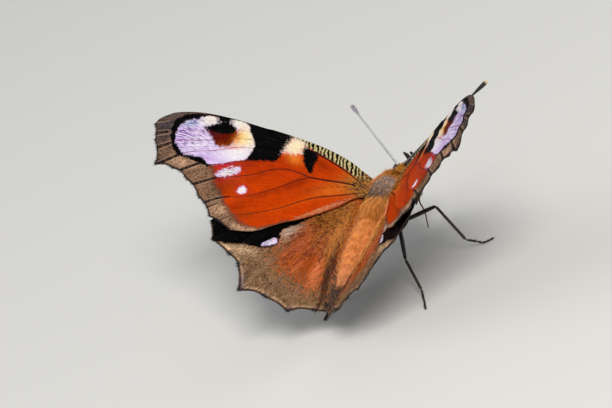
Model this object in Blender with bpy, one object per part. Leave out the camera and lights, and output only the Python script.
"""A peacock butterfly, life size, standing on the floor with its wings half open.

Metres, +Z up, +Y towards the head, +X the butterfly's right. The origin is the middle of the
bottom of the whole insect's box. Sizes below are in millimetres and become metres in metres().
"""

import math
import random

import bmesh
import bpy
import numpy as np
from mathutils import Matrix, Vector
from mathutils.geometry import delaunay_2d_cdt

MM = 0.001
GAP = 0.3                            # clear space kept between touching nodes

# Stance: the body frame has its origin midway between the forewing hinges
BODY_PITCH = 15.0                    # degrees, head up
HINGE_HEIGHT = 10.0                  # forewing hinges above the floor
HINGE_FORWARD = 2.13                 # of the middle of the box

# Wings: u runs out from the hinge and v forward, both in the plane of the wing
HINGE_HALF_WIDTH = 2.2
WING_RAISE = 35.2                    # degrees above the body's level
FOREWING_SPAN = 29.0
WING_BEND = 1.17                     # how far the tip curls down
WING_TWIST = 0.227                   # how far the front edge rises towards the tip, per mm
TWIST_AXIS = -3.0
WING_THICKNESS = 0.5
HINDWING_DROP = 1.0                  # the hind wing lies this far under the forewing
VEIN_RISE = 0.16
VEIN_HALF_WIDTH = 0.3
VEIN_STEP = 1.7                      # spacing of points along a vein
MARGIN_STEP = 1.1                    # spacing of points along a wing's scalloped edge
PLAIN_EDGE_STEP = 1.87               # and along its front and inner edges
EDGE_SAMPLES = 8                     # fine points to a stretch, from which these are spaced
MERGE_WITHIN = 0.02                  # points of the wing's plan closer than this are one
FILL_STEP = 2.3                      # spacing of points on the open membrane
FILL_CLEARANCE = 0.8                 # how far those points stay from veins and edges
WING_ROOT = -1.4                     # the root starts here, inside the thorax, and is cut clear

FOREWING_COSTA = [(WING_ROOT, 1.9), (0.8, 2.5), (3.0, 3.3), (5.0, 3.75), (8.0, 4.0), (12.0, 3.85),
                  (16.0, 3.5), (20.0, 3.1), (24.0, 2.35), (27.0, 1.15), (28.6, -0.2), (29.05, -1.2)]
# Ends of the veins on the outer edge, each with the depth of the notch that follows it
FOREWING_LOBES = [((29.05, -1.2), 0.1), ((28.0, -3.4), 0.3), ((26.65, -6.45), 0.3), ((24.3, -6.1), 0.3),
                  ((22.0, -6.9), 0.3), ((19.3, -8.8), 0.3), ((16.8, -10.9), 0.15), ((13.4, -11.85), 0.0)]
FOREWING_INNER = [(13.4, -11.85), (10.5, -10.9), (8.0, -8.7), (5.0, -6.3), (2.4, -3.6), (0.8, -1.4),
                  (WING_ROOT, -0.7)]
# Each vein: where it starts, where it ends and how far it bows towards the front edge
FOREWING_VEINS = [
    ((0.4, 1.75), (14.5, 3.55), 0.5),
    ((0.4, 1.0), (14.0, 2.4), 0.45),
    ((10.5, 2.6), (18.0, 3.3), 0.1),
    ((14.0, 2.4), (21.5, 2.87), 0.15),
    ((14.0, 2.4), (25.3, 1.9), 0.25),
    ((18.0, 2.3), (28.0, 0.4), 0.3),
    ((14.0, 2.4), (28.0, -3.4), 0.9),
    ((13.8, 1.6), (26.65, -6.45), 0.7),
    ((13.2, 0.5), (24.3, -6.1), 0.6),
    ((14.0, 2.4), (11.4, -1.15), 0.15),
    ((0.4, 0.45), (7.3, -0.95), 0.0),
    ((7.3, -0.95), (11.4, -1.15), 0.1),
    ((11.4, -1.15), (22.0, -6.9), 0.95),
    ((11.0, -1.15), (19.3, -8.8), 0.4),
    ((7.3, -0.95), (16.8, -10.9), 0.35),
    ((0.8, -0.75), (13.4, -11.85), 0.65),
]
HINDWING_COSTA = [(WING_ROOT, -0.7), (0.6, -0.3), (4.0, -0.7), (8.5, -2.6), (12.5, -5.6), (15.4, -8.6),
                  (16.4, -11.2)]
HINDWING_LOBES = [((16.4, -11.2), 0.1), ((15.0, -13.7), 0.2), ((12.1, -14.9), 0.25), ((10.4, -15.9), 0.2),
                  ((8.75, -19.4), 0.5), ((5.3, -18.95), 0.25), ((1.7, -19.8), 0.4), ((-1.2, -18.3), 0.1),
                  ((-2.9, -17.7), 0.0)]
HINDWING_INNER = [(-2.9, -17.7), (-2.6, -15.8), (-1.4, -12.2), (-0.75, -9.4), (-0.4, -6.0), (-0.4, -3.9),
                  (WING_ROOT, -3.1)]
HINDWING_VEINS = [
    ((0.2, -1.0), (16.4, -11.2), 1.9),
    ((0.9, -1.5), (15.0, -13.7), 1.1),
    ((4.7, -4.3), (12.1, -14.9), 0.9),
    ((5.2, -7.2), (10.4, -15.9), 0.4),
    ((4.2, -9.0), (8.75, -19.4), 0.3),
    ((3.3, -8.9), (5.3, -18.95), 0.15),
    ((0.3, -2.2), (3.3, -8.9), 0.2),
    ((4.7, -4.3), (5.2, -7.2), 0.2),
    ((5.2, -7.2), (3.3, -8.9), 0.2),
    ((1.8, -5.2), (1.7, -19.8), 0.3),
    ((-0.1, -2.7), (-1.2, -18.3), 0.4),
]

# Body: rows of (distance forward, half width, half height, height of the middle)
THORAX_ROWS = [(-3.3, 1.5, 1.7, -2.0), (-2.4, 2.0, 2.15, -1.95), (-1.0, 2.35, 2.4, -1.9),
               (0.5, 2.45, 2.5, -1.85), (2.0, 2.25, 2.35, -1.85), (3.1, 1.75, 1.95, -1.95),
               (3.9, 1.1, 1.3, -2.1)]
ABDOMEN_ROWS = [(-3.6, 1.45, 1.6, -2.0), (-5.0, 1.75, 1.8, -2.05), (-7.0, 1.8, 1.8, -2.1),
                (-9.5, 1.6, 1.6, -2.1), (-12.0, 1.15, 1.15, -2.1), (-13.6, 0.65, 0.7, -2.05),
                (-14.2, 0.25, 0.3, -2.0)]
HEAD_ROWS = [(4.2, 0.9, 1.1, -2.2), (4.8, 1.2, 1.4, -2.25), (5.5, 1.3, 1.5, -2.3), (6.2, 1.1, 1.3, -2.35),
             (6.8, 0.5, 0.7, -2.4)]
BODY_SIDES = 20
BODY_STEPS = 2                       # rings to a row

# Coat: flat locks of hair in rows that run back along the body, overlapping by half
LOCK_LENGTH = 1.75
LOCK_WIDTH = 0.95
LOCK_THICKNESS = 0.45
LOCK_STATIONS = [(0.0, -0.6, 0.7), (0.25, 0.05, 1.0), (0.62, 0.3, 0.8)]   # along, raised, breadth
LOCK_TIP_RAISE = 0.28
LOCK_SWAY = 0.3                      # how far a lock leans to one side
LOCK_LENGTHS = (0.85, 1.1)           # least and most, of LOCK_LENGTH
BACKWARD_PROBE = 0.5                 # step along the body that gives a lock's lie
ROUND_PROBE = 4.0                    # degrees round the body that give its breadth
THORAX_BACK_ROWS = (3.0, -2.4, 7)    # first row, last row and how many
THORAX_BACK_ANGLES = (62.0, 118.0, 4)
THORAX_FLANK_ROWS = (1.7, -2.2, 5)
ABDOMEN_ROWS_OF_LOCKS = (-4.6, -12.2, 8)
ABDOMEN_BACK_ANGLES = (45.0, 135.0, 5)
THORAX_FLANK_ANGLES = (-18.0, -40.0, 2)
ABDOMEN_FLANK_ANGLES = (-12.0, -40.0, 2)
COAT_SEED = 7

# Eyes
EYE_CENTRE = (1.1, 5.5, -2.2)
EYE_RADII = (0.6, 0.9, 0.97)
EYE_SEGMENTS = 18
EYE_RINGS = 12
SOCKET_GAP = 0.24

# Feelers and mouthparts in the body frame; a feeler's shape is (along, radius)
ANTENNA_ROOT = (0.5, 5.5, -1.2)
ANTENNA_TIPS = {"left": (-11.9, 14.5, 0.8), "right": (10.5, 16.4, 1.8)}
ANTENNA_SHAPE = [(0.0, 0.25), (0.45, 0.25), (0.82, 0.28), (0.92, 0.48), (0.98, 0.38), (1.0, 0.22)]
PALP_PATH = [(0.4, 6.0, -3.0), (0.47, 7.2, -3.0), (0.52, 7.6, -2.2), (0.55, 7.55, -1.35)]
PALP_RADII = [0.3, 0.36, 0.34, 0.12]
PROBOSCIS_UPPER = [(0.0, 5.9, -3.0), (0.0, 6.2, -4.6), (0.0, 5.4, -5.9), (0.0, 4.2, -6.9)]
PROBOSCIS_LOWER = [(0.0, 4.2, -6.9), (0.0, 3.85, -8.5), (0.0, 2.7, -10.35)]
PROBOSCIS_RADIUS = 0.25
PROBOSCIS_TIP_RADIUS = 0.15

# Legs: joints as (out, forward of the hinges, above the floor), thickness falling to the foot
MIDLEG_RIGHT = [(0.9, 1.6, 6.6), (1.4, 1.1, 4.9), (7.2, 0.9, 6.9), (9.6, 0.9, 1.7), (11.6, 3.4, 0.14)]
MIDLEG_LEFT = [(-0.9, 1.6, 6.6), (-1.4, 1.1, 4.9), (-7.0, 1.6, 6.7), (-9.2, 2.0, 1.7), (-10.8, 4.7, 0.14)]
HINDLEG_RIGHT = [(0.9, -0.6, 6.0), (1.3, -0.6, 4.9), (4.5, -5.2, 3.1), (8.3, -8.6, 0.9), (10.6, -11.6, 0.14)]
HINDLEG_LEFT = [(-0.9, -0.6, 6.0), (-1.3, -0.6, 4.9), (-4.1, -5.3, 3.2), (-5.4, -10.2, 1.0),
                (-4.4, -13.9, 0.14)]
FORELEG = [(0.75, 2.2, -3.4), (1.1, 4.3, -4.9), (0.9, 3.1, -5.6)]
FORELEG_RADII = (0.34, 0.2)          # at the hip and at the tip
FOOT_REACH = 1.3                     # the last stretch of a foot that lies flat on the floor
LEG_RADII = {"hip": 0.42, "knee": 0.3, "ankle": 0.26, "toe": 0.22}
JOINT_OVERRUN = 0.6                  # a limb is drawn past its joint and cut back

TUBE_RESOLUTION = 2                  # of a curve's round section
BEND_STEPS = 3                       # points to a stretch of a bent limb
WELD_WITHIN = 0.01                   # a hundredth of a millimetre
SHARP_ANGLE = 40.0                   # edges sharper than this are drawn sharp

# Colours
WING_RED = (0.50, 0.10, 0.02)
HINDWING_BROWN = (0.34, 0.14, 0.06)
GOLDEN_FUR = (0.36, 0.18, 0.06)
DARK_SKIN = (0.04, 0.03, 0.03)
EYE_BROWN = (0.07, 0.04, 0.03)


def metres(point):
    """A point in metres from one in millimetres."""
    return Vector(point) * MM


def clear_scene():
    """Remove every object, so that the script can run in any file."""
    for obj in list(bpy.data.objects):
        bpy.data.objects.remove(obj, do_unlink=True)


def collection(name):
    """A new collection in the scene."""
    made = bpy.data.collections.new(name)
    bpy.context.scene.collection.children.link(made)
    return made


def material(name, colour, roughness, metallic=0.0):
    """A Principled material with one colour."""
    made = bpy.data.materials.new(name)
    made.use_nodes = True
    shader = made.node_tree.nodes["Principled BSDF"]
    shader.inputs["Base Color"].default_value = (*colour, 1.0)
    shader.inputs["Roughness"].default_value = roughness
    shader.inputs["Metallic"].default_value = metallic
    made.diffuse_color = (*colour, 1.0)
    return made


def empty(name, location, pitch, parts):
    """An empty that carries the pieces of one frame."""
    made = bpy.data.objects.new(name, None)
    made.location = location
    made.rotation_euler = (pitch, 0.0, 0.0)
    parts.objects.link(made)
    return made


def mesh_object(name, bm, frame, finish, parts):
    """An object from a bmesh in millimetres, carried by an empty."""
    bmesh.ops.scale(bm, vec=(MM, MM, MM), verts=bm.verts)
    bmesh.ops.recalc_face_normals(bm, faces=bm.faces)
    mesh = bpy.data.meshes.new(name)
    bm.to_mesh(mesh)
    bm.free()
    mesh.shade_smooth()
    mesh.set_sharp_from_angle(angle=math.radians(SHARP_ANGLE))
    made = bpy.data.objects.new(name, mesh)
    made.data.materials.append(finish)
    made.parent = frame
    parts.objects.link(made)
    return made


def smooth_path(points, steps):
    """Points on a smooth curve through the given points, with steps in each stretch."""
    pts = np.array(points, float)
    ends = np.vstack([2 * pts[0] - pts[1], pts, 2 * pts[-1] - pts[-2]])
    made = []
    for i in range(len(pts) - 1):
        a, b, c, d = ends[i:i + 4]
        for k in range(steps):
            t = k / steps
            made.append(0.5 * (2 * b + (c - a) * t + (2 * a - 5 * b + 4 * c - d) * t ** 2
                               + (3 * b - a - 3 * c + d) * t ** 3))
    made.append(pts[-1])
    return np.array(made)


def loft(name, rows, frame, finish, parts, swell=0.0):
    """A closed body through oval rings, swelled outwards where it serves as a cutter."""
    rings = smooth_path(rows, BODY_STEPS)
    if swell:
        step = np.sign(rings[-1, 0] - rings[0, 0]) * swell
        rings[0, 0] -= step
        rings[-1, 0] += step
    bm = bmesh.new()
    loops = []
    for forward, half_width, half_height, middle in rings:
        loop = []
        for i in range(BODY_SIDES):
            angle = 2 * math.pi * (i + 0.5) / BODY_SIDES
            x = (half_width + swell) * math.cos(angle)
            z = middle + (half_height + swell) * math.sin(angle)
            loop.append(bm.verts.new((x, forward, z)))
        loops.append(loop)
    for near, far in zip(loops, loops[1:]):
        for i in range(BODY_SIDES):
            j = (i + 1) % BODY_SIDES
            bm.faces.new((near[i], near[j], far[j], far[i]))
    bm.faces.new(loops[0])
    bm.faces.new(loops[-1])
    return mesh_object(name, bm, frame, finish, parts)


def ellipsoid(name, centre, radii, frame, finish, parts, swell=0.0):
    """An egg-shaped ball, swelled outwards where it serves as a cutter."""
    bm = bmesh.new()
    size = Matrix.Diagonal(Vector([r + swell for r in radii] + [1.0]))
    place = Matrix.Translation(Vector(centre))
    bmesh.ops.create_uvsphere(bm, u_segments=EYE_SEGMENTS, v_segments=EYE_RINGS, radius=1.0,
                              matrix=place @ size)
    return mesh_object(name, bm, frame, finish, parts)


def trim(bm, point, outward):
    """Cut a closed bmesh by a plane, drop what lies outside it and close the cut."""
    geometry = bm.verts[:] + bm.edges[:] + bm.faces[:]
    cut = bmesh.ops.bisect_plane(bm, geom=geometry, plane_co=point, plane_no=outward, clear_outer=True)
    edges = [e for e in cut["geom_cut"] if isinstance(e, bmesh.types.BMEdge)]
    bmesh.ops.edgenet_fill(bm, edges=edges)


def tube(name, points, radii, frame, finish, parts, cuts=()):
    """A tapering round limb along a path, cut square where it meets a joint or the floor."""
    curve = bpy.data.curves.new(name, "CURVE")
    curve.dimensions = "3D"
    curve.bevel_depth = 1.0
    curve.bevel_resolution = TUBE_RESOLUTION
    curve.use_fill_caps = True
    spline = curve.splines.new("POLY")
    spline.points.add(len(points) - 1)
    for knot, point, radius in zip(spline.points, points, radii):
        knot.co = (*point, 1.0)
        knot.radius = radius
    holder = bpy.data.objects.new(name + "_path", curve)
    parts.objects.link(holder)
    evaluated = holder.evaluated_get(bpy.context.evaluated_depsgraph_get())
    mesh = bpy.data.meshes.new_from_object(evaluated)
    bm = bmesh.new()
    bm.from_mesh(mesh)
    bpy.data.objects.remove(holder)
    bpy.data.meshes.remove(mesh)
    bmesh.ops.remove_doubles(bm, verts=bm.verts, dist=WELD_WITHIN)
    bmesh.ops.recalc_face_normals(bm, faces=bm.faces)
    for point, outward in cuts:
        trim(bm, point, outward)
    return mesh_object(name, bm, frame, finish, parts)


def on_body(rows, forward, degrees):
    """A point on a lofted body, at a place along it and an angle round it."""
    rings = smooth_path(rows, BODY_STEPS)
    rings = rings[np.argsort(rings[:, 0])]
    half_width, half_height, middle = (np.interp(forward, rings[:, 0], rings[:, k]) for k in (1, 2, 3))
    angle = math.radians(degrees)
    return Vector((half_width * math.cos(angle), forward, middle + half_height * math.sin(angle)))


def lock(rows, forward, degrees, frame, finish, holder):
    """One flat, tapered lock of hair that leans back along the body, with its root sunk in."""
    root = on_body(rows, forward, degrees)
    lie = (on_body(rows, forward - BACKWARD_PROBE, degrees) - root).normalized()
    around = (on_body(rows, forward, degrees + ROUND_PROBE) - root).normalized()
    out = around.cross(lie).normalized()
    lie = (lie + around * random.uniform(-LOCK_SWAY, LOCK_SWAY)).normalized()
    across = out.cross(lie).normalized()
    length = LOCK_LENGTH * random.uniform(*LOCK_LENGTHS)
    bm = bmesh.new()
    loops = []
    for along, raised, breadth in LOCK_STATIONS:
        middle = root + lie * length * along + out * raised
        half = across * LOCK_WIDTH / 2 * breadth
        thick = out * LOCK_THICKNESS / 2 * breadth
        loops.append([bm.verts.new(middle + side) for side in (half, thick, -half, -thick)])
    tip = bm.verts.new(root + lie * length + out * LOCK_TIP_RAISE)
    for near, far in zip(loops, loops[1:]):
        for i in range(4):
            bm.faces.new((near[i], near[(i + 1) % 4], far[(i + 1) % 4], far[i]))
    for i in range(4):
        bm.faces.new((loops[-1][i], loops[-1][(i + 1) % 4], tip))
    bm.faces.new(loops[0])
    mesh_object("lock", bm, frame, finish, holder)


def stations(span, shift=0.0):
    """Evenly spaced values from the first to the last, moved on by a part of one spacing."""
    first, last, count = span
    step = (last - first) / (count - 1)
    return [first + step * (i + shift) for i in range(count)]


def keep_largest(mesh):
    """Keep only a mesh's largest closed surface."""
    bm = bmesh.new()
    bm.from_mesh(mesh)
    left = set(bm.verts)
    pieces = []
    while left:
        piece = {left.pop()}
        front = list(piece)
        while front:
            for edge in front.pop().link_edges:
                for vert in edge.verts:
                    if vert in left:
                        left.discard(vert)
                        piece.add(vert)
                        front.append(vert)
        pieces.append(piece)
    pieces.sort(key=len)
    scraps = [vert for piece in pieces[:-1] for vert in piece]
    bmesh.ops.delete(bm, geom=scraps, context="VERTS")
    bm.to_mesh(mesh)
    bm.free()


def grow_coat(obj, rows, row_spans, frame, finish):
    """Fuse rows of locks onto a body: each span of rows with the angles round the body it covers."""
    locks = collection(obj.name + "_locks")
    for row_span, angle_span, both_sides in row_spans:
        for number, forward in enumerate(stations(row_span)):
            angles = stations(angle_span, 0.5 * (number % 2))
            if number % 2 and not both_sides:
                angles = angles[:-1]
            for degrees in angles:
                lock(rows, forward, degrees, frame, finish, locks)
                if both_sides:
                    lock(rows, forward, 180.0 - degrees, frame, finish, locks)
    union = obj.modifiers.new("coat", "BOOLEAN")
    union.operation = "UNION"
    union.operand_type = "COLLECTION"
    union.collection = locks
    joined = bpy.data.meshes.new_from_object(obj.evaluated_get(bpy.context.evaluated_depsgraph_get()))
    obj.modifiers.clear()
    keep_largest(joined)
    obj.data = joined
    for piece in list(locks.objects):
        bpy.data.objects.remove(piece)
    bpy.data.collections.remove(locks)


def cut_clear(obj, cutter):
    """Cut a piece clear of what it grows from."""
    modifier = obj.modifiers.new("clear_of_" + cutter.name, "BOOLEAN")
    modifier.operation = "DIFFERENCE"
    modifier.object = cutter


def as_cutter(obj):
    """Mark an object that only cuts others."""
    obj.hide_render = True
    obj.display_type = "WIRE"
    return obj


def bowed_line(start, end, bow, step):
    """Points from start to end on a shallow arc that bows towards the front edge."""
    a = np.array(start, float)
    b = np.array(end, float)
    run = b - a
    length = float(np.hypot(*run))
    normal = np.array([-run[1], run[0]]) / length
    if normal[1] < 0 or (abs(normal[1]) < 0.2 and normal[0] < 0):
        normal = -normal
    count = max(2, int(round(length / step)))
    t = np.linspace(0.0, 1.0, count + 1)[:, None]
    return a + run * t + normal * bow * 4 * t * (1 - t)


def spaced(points, step):
    """Points at an even spacing along a smooth curve through the given points."""
    path = smooth_path(points, EDGE_SAMPLES)
    runs = np.hypot(*np.diff(path, axis=0).T)
    along = np.concatenate([[0.0], np.cumsum(runs)])
    wanted = np.linspace(0.0, along[-1], int(round(along[-1] / step)) + 1)
    return np.stack([np.interp(wanted, along, path[:, k]) for k in range(2)], -1)


def wing_edge(costa, lobes, inner):
    """The closed outline of a wing, scalloped between the ends of its veins."""
    edge = [spaced(costa, PLAIN_EDGE_STEP)[:-1]]
    for (start, notch), (end, _) in zip(lobes, lobes[1:]):
        a = np.array(start, float)
        b = np.array(end, float)
        run = b - a
        length = float(np.hypot(*run))
        inward = np.array([run[1], -run[0]]) / length
        if np.dot(inward, -a) < 0:
            inward = -inward
        count = max(2, int(round(length / MARGIN_STEP)))
        t = np.linspace(0.0, 1.0, count + 1)[:-1, None]
        edge.append(a + run * t + inward * notch * 4 * t * (1 - t))
    edge.append(spaced(inner, PLAIN_EDGE_STEP))
    return np.vstack(edge)


def distance_to_lines(points, lines):
    """How far each point is from the nearest of several lines, and how far along that line."""
    best = np.full(len(points), 1e9)
    along = np.zeros(len(points))
    for line in lines:
        last = len(line) - 1
        for i in range(last):
            a = line[i]
            run = line[i + 1] - a
            t = np.clip(((points - a) @ run) / (run @ run), 0.0, 1.0)
            away = np.hypot(*(points - a - t[:, None] * run).T)
            closer = away < best
            best[closer] = away[closer]
            along[closer] = (i + t[closer]) / last
    return best, along


def inside(points, outline):
    """Which points lie inside a closed outline."""
    x, y = points[:, 0], points[:, 1]
    result = np.zeros(len(points), bool)
    for (x0, y0), (x1, y1) in zip(outline, np.roll(outline, -1, axis=0)):
        crosses = (y0 > y) != (y1 > y)
        with np.errstate(divide="ignore", invalid="ignore"):
            at = x0 + (y - y0) * (x1 - x0) / (y1 - y0)
        result ^= crosses & (x < at)
    return result


def wing_surface(u, v, offset, side):
    """The place in the body frame of a point of the wing, offset along the wing's normal."""
    a = max(u, 0.0) / FOREWING_SPAN
    lift = -WING_BEND * a ** 2 + WING_TWIST * a ** 2 * (v - TWIST_AXIS) + offset
    raise_angle = math.radians(WING_RAISE)
    x = HINGE_HALF_WIDTH + u * math.cos(raise_angle) - lift * math.sin(raise_angle)
    z = u * math.sin(raise_angle) + lift * math.cos(raise_angle)
    return side * x, v, z


def wing_mesh(outline, veins, drop, side):
    """A membrane with its veins raised on both faces, triangulated alike above and below."""
    lines = [bowed_line(start, end, bow, VEIN_STEP) for start, end, bow in veins]
    points = [tuple(p) for p in outline]
    edges = [(i, (i + 1) % len(outline)) for i in range(len(outline))]
    for line in lines:
        run = np.gradient(line, axis=0)
        normal = np.stack([-run[:, 1], run[:, 0]], -1) / np.hypot(*run.T)[:, None]
        for shift in (-1.0, 0.0, 1.0):
            row = line + normal * shift * VEIN_HALF_WIDTH
            if shift:
                row = row[:-1]
            row = row[inside(row, outline) | (np.arange(len(row)) == len(line) - 1)]
            first = len(points)
            points += [tuple(p) for p in row]
            edges += [(first + i, first + i + 1) for i in range(len(row) - 1)]
    low, high = outline.min(axis=0), outline.max(axis=0)
    grid = np.array([(u, v) for u in np.arange(low[0], high[0], FILL_STEP)
                     for v in np.arange(low[1], high[1], FILL_STEP)])
    to_vein, _ = distance_to_lines(grid, lines)
    to_edge, _ = distance_to_lines(grid, [np.vstack([outline, outline[:1]])])
    grid = grid[inside(grid, outline) & (to_vein > FILL_CLEARANCE) & (to_edge > FILL_CLEARANCE)]
    points += [tuple(p) for p in grid]
    border = list(range(len(outline)))
    plan_points = [Vector(p) for p in points]
    flat, _, faces, _, _, _ = delaunay_2d_cdt(plan_points, edges, [border], 1, MERGE_WITHIN)
    used = sorted({i for face in faces for i in face})
    plan = np.array([flat[i][:] for i in used])
    number = {old: new for new, old in enumerate(used)}
    away, along = distance_to_lines(plan, lines)
    ridge = VEIN_RISE * (1.0 - 0.5 * along) * np.clip(1.0 - away / VEIN_HALF_WIDTH, 0.0, 1.0)
    bm = bmesh.new()
    above, below = [], []
    for (u, v), rise in zip(plan, ridge):
        half = WING_THICKNESS / 2 + rise
        above.append(bm.verts.new(wing_surface(u, v, half - drop, side)))
        below.append(bm.verts.new(wing_surface(u, v, -half - drop, side)))
    for face in faces:
        corners = [number[i] for i in face]
        bm.faces.new([above[i] for i in corners])
        bm.faces.new([below[i] for i in reversed(corners)])
    border_edges = [e for e in bm.edges if len(e.link_faces) == 1 and e.verts[0] in set(above)]
    bm.verts.index_update()
    for edge in border_edges:
        a, b = (v.index // 2 for v in edge.verts)
        bm.faces.new((above[a], above[b], below[b], below[a]))
    return bm


def limb_cuts(joints, index, first, last):
    """Planes that cut one length of a leg back from its joints, and from the floor."""
    cuts = []
    here = [Vector(p) for p in joints]
    if not first:
        before = (here[index] - here[index - 1]).normalized()
        after = (here[index + 1] - here[index]).normalized()
        outward = -(before + after).normalized()
        cuts.append((here[index] - outward * GAP / 2, outward))
    if not last:
        before = (here[index + 1] - here[index]).normalized()
        after = (here[index + 2] - here[index + 1]).normalized()
        outward = (before + after).normalized()
        cuts.append((here[index + 1] - outward * GAP / 2, outward))
    return cuts


def overrun(points, start, end):
    """The path drawn a little past either end."""
    path = [Vector(p) for p in points]
    if start:
        path[0] = path[0] + (path[0] - path[1]).normalized() * JOINT_OVERRUN
    if end:
        path[-1] = path[-1] + (path[-1] - path[-2]).normalized() * JOINT_OVERRUN
    return path


def build_leg(name, joints, frame, finish, parts, thorax_cutter):
    """Three lengths of a walking leg, hip to knee, knee to ankle and ankle to toe."""
    hip, knee, ankle, toe = (LEG_RADII[key] for key in ("hip", "knee", "ankle", "toe"))
    femur_path = overrun(joints[0:3], False, True)
    femur = tube(name + "_femur", femur_path, [hip, hip, knee], frame, finish, parts,
                 limb_cuts(joints, 1, True, False))
    cut_clear(femur, thorax_cutter)
    tibia_path = overrun(joints[2:4], True, True)
    tube(name + "_tibia", tibia_path, [knee, ankle], frame, finish, parts, limb_cuts(joints, 2, False, False))
    foot = Vector(joints[4])
    ankle_place = Vector(joints[3])
    level = Vector((foot.x - ankle_place.x, foot.y - ankle_place.y, 0.0)).normalized()
    heel = foot - level * FOOT_REACH
    tarsus_joints = [joints[2], ankle_place, heel]
    tarsus_path = overrun([ankle_place, heel, foot], True, False)
    cuts = limb_cuts(tarsus_joints, 1, False, True) + [(Vector((0.0, 0.0, 0.0)), Vector((0.0, 0.0, -1.0)))]
    tube(name + "_tarsus", tarsus_path, [ankle, toe, toe], frame, finish, parts, cuts)


def mirrored(points):
    """The same path on the other side of the body."""
    return [(-x, y, z) for x, y, z in points]


def build():
    """Make every node of the butterfly."""
    random.seed(COAT_SEED)
    clear_scene()
    parts = collection("peacock_butterfly")
    cutters = collection("cutters")
    wing_red = material("wing_red", WING_RED, 0.7)
    hind_brown = material("hindwing_brown", HINDWING_BROWN, 0.75)
    fur = material("golden_fur", GOLDEN_FUR, 0.9)
    dark = material("dark_skin", DARK_SKIN, 0.5)
    eye_finish = material("eye_brown", EYE_BROWN, 0.25)
    hinges = metres((0.0, HINGE_FORWARD, HINGE_HEIGHT))
    body_frame = empty("body_axis", hinges, math.radians(BODY_PITCH), parts)
    floor_frame = empty("floor_under_hinges", metres((0.0, HINGE_FORWARD, 0.0)), 0.0, parts)

    thorax = loft("thorax", THORAX_ROWS, body_frame, fur, parts)
    grow_coat(thorax, THORAX_ROWS, [(THORAX_BACK_ROWS, THORAX_BACK_ANGLES, False),
                                    (THORAX_FLANK_ROWS, THORAX_FLANK_ANGLES, True)], body_frame, fur)
    abdomen = loft("abdomen", ABDOMEN_ROWS, body_frame, fur, parts)
    grow_coat(abdomen, ABDOMEN_ROWS, [(ABDOMEN_ROWS_OF_LOCKS, ABDOMEN_BACK_ANGLES, False),
                                      (ABDOMEN_ROWS_OF_LOCKS, ABDOMEN_FLANK_ANGLES, True)], body_frame, fur)
    head = loft("head", HEAD_ROWS, body_frame, fur, parts)
    thorax_cutter = as_cutter(loft("thorax_cutter", THORAX_ROWS, body_frame, fur, cutters, GAP))
    head_cutter = as_cutter(loft("head_cutter", HEAD_ROWS, body_frame, fur, cutters, GAP))

    for side, sign in (("left", -1.0), ("right", 1.0)):
        eye_place = (sign * EYE_CENTRE[0], EYE_CENTRE[1], EYE_CENTRE[2])
        ellipsoid("eye_" + side, eye_place, EYE_RADII, body_frame, eye_finish, parts)
        socket = ellipsoid("eye_cutter_" + side, eye_place, EYE_RADII, body_frame, dark, cutters, SOCKET_GAP)
        cut_clear(head, as_cutter(socket))

        path = PALP_PATH if sign > 0 else mirrored(PALP_PATH)
        palp = tube("palp_" + side, path, PALP_RADII, body_frame, dark, parts)
        cut_clear(palp, head_cutter)

        root = Vector((sign * ANTENNA_ROOT[0], ANTENNA_ROOT[1], ANTENNA_ROOT[2]))
        tip = Vector(ANTENNA_TIPS[side])
        path = [root.lerp(tip, along) for along, _ in ANTENNA_SHAPE]
        radii = [radius for _, radius in ANTENNA_SHAPE]
        antenna = tube("antenna_" + side, path, radii, body_frame, dark, parts)
        cut_clear(antenna, head_cutter)

        path = smooth_path(FORELEG if sign > 0 else mirrored(FORELEG), BEND_STEPS)
        radii = np.linspace(*FORELEG_RADII, len(path))
        foreleg = tube("foreleg_" + side, path, radii, body_frame, fur, parts)
        cut_clear(foreleg, thorax_cutter)

        outline = wing_edge(FOREWING_COSTA, FOREWING_LOBES, FOREWING_INNER)
        bm = wing_mesh(outline, FOREWING_VEINS, 0.0, sign)
        cut_clear(mesh_object("forewing_" + side, bm, body_frame, wing_red, parts), thorax_cutter)
        outline = wing_edge(HINDWING_COSTA, HINDWING_LOBES, HINDWING_INNER)
        bm = wing_mesh(outline, HINDWING_VEINS, HINDWING_DROP, sign)
        cut_clear(mesh_object("hindwing_" + side, bm, body_frame, hind_brown, parts), thorax_cutter)

    upper = smooth_path(PROBOSCIS_UPPER, BEND_STEPS)
    elbow = Vector(PROBOSCIS_UPPER[-1])
    along = (elbow - Vector(upper[-2])).normalized()
    upper_tube = tube("proboscis_upper", overrun(upper, False, True), [PROBOSCIS_RADIUS] * len(upper),
                      body_frame, dark, parts, [(elbow - along * GAP / 2, along)])
    cut_clear(upper_tube, head_cutter)
    lower = smooth_path(PROBOSCIS_LOWER, BEND_STEPS)
    radii = np.linspace(PROBOSCIS_RADIUS, PROBOSCIS_TIP_RADIUS, len(lower))
    tube("proboscis_lower", overrun(lower, True, False), radii, body_frame, dark, parts,
         [(elbow + along * GAP / 2, -along)])

    build_leg("midleg_right", MIDLEG_RIGHT, floor_frame, dark, parts, thorax_cutter)
    build_leg("midleg_left", MIDLEG_LEFT, floor_frame, dark, parts, thorax_cutter)
    build_leg("hindleg_right", HINDLEG_RIGHT, floor_frame, dark, parts, thorax_cutter)
    build_leg("hindleg_left", HINDLEG_LEFT, floor_frame, dark, parts, thorax_cutter)


build()
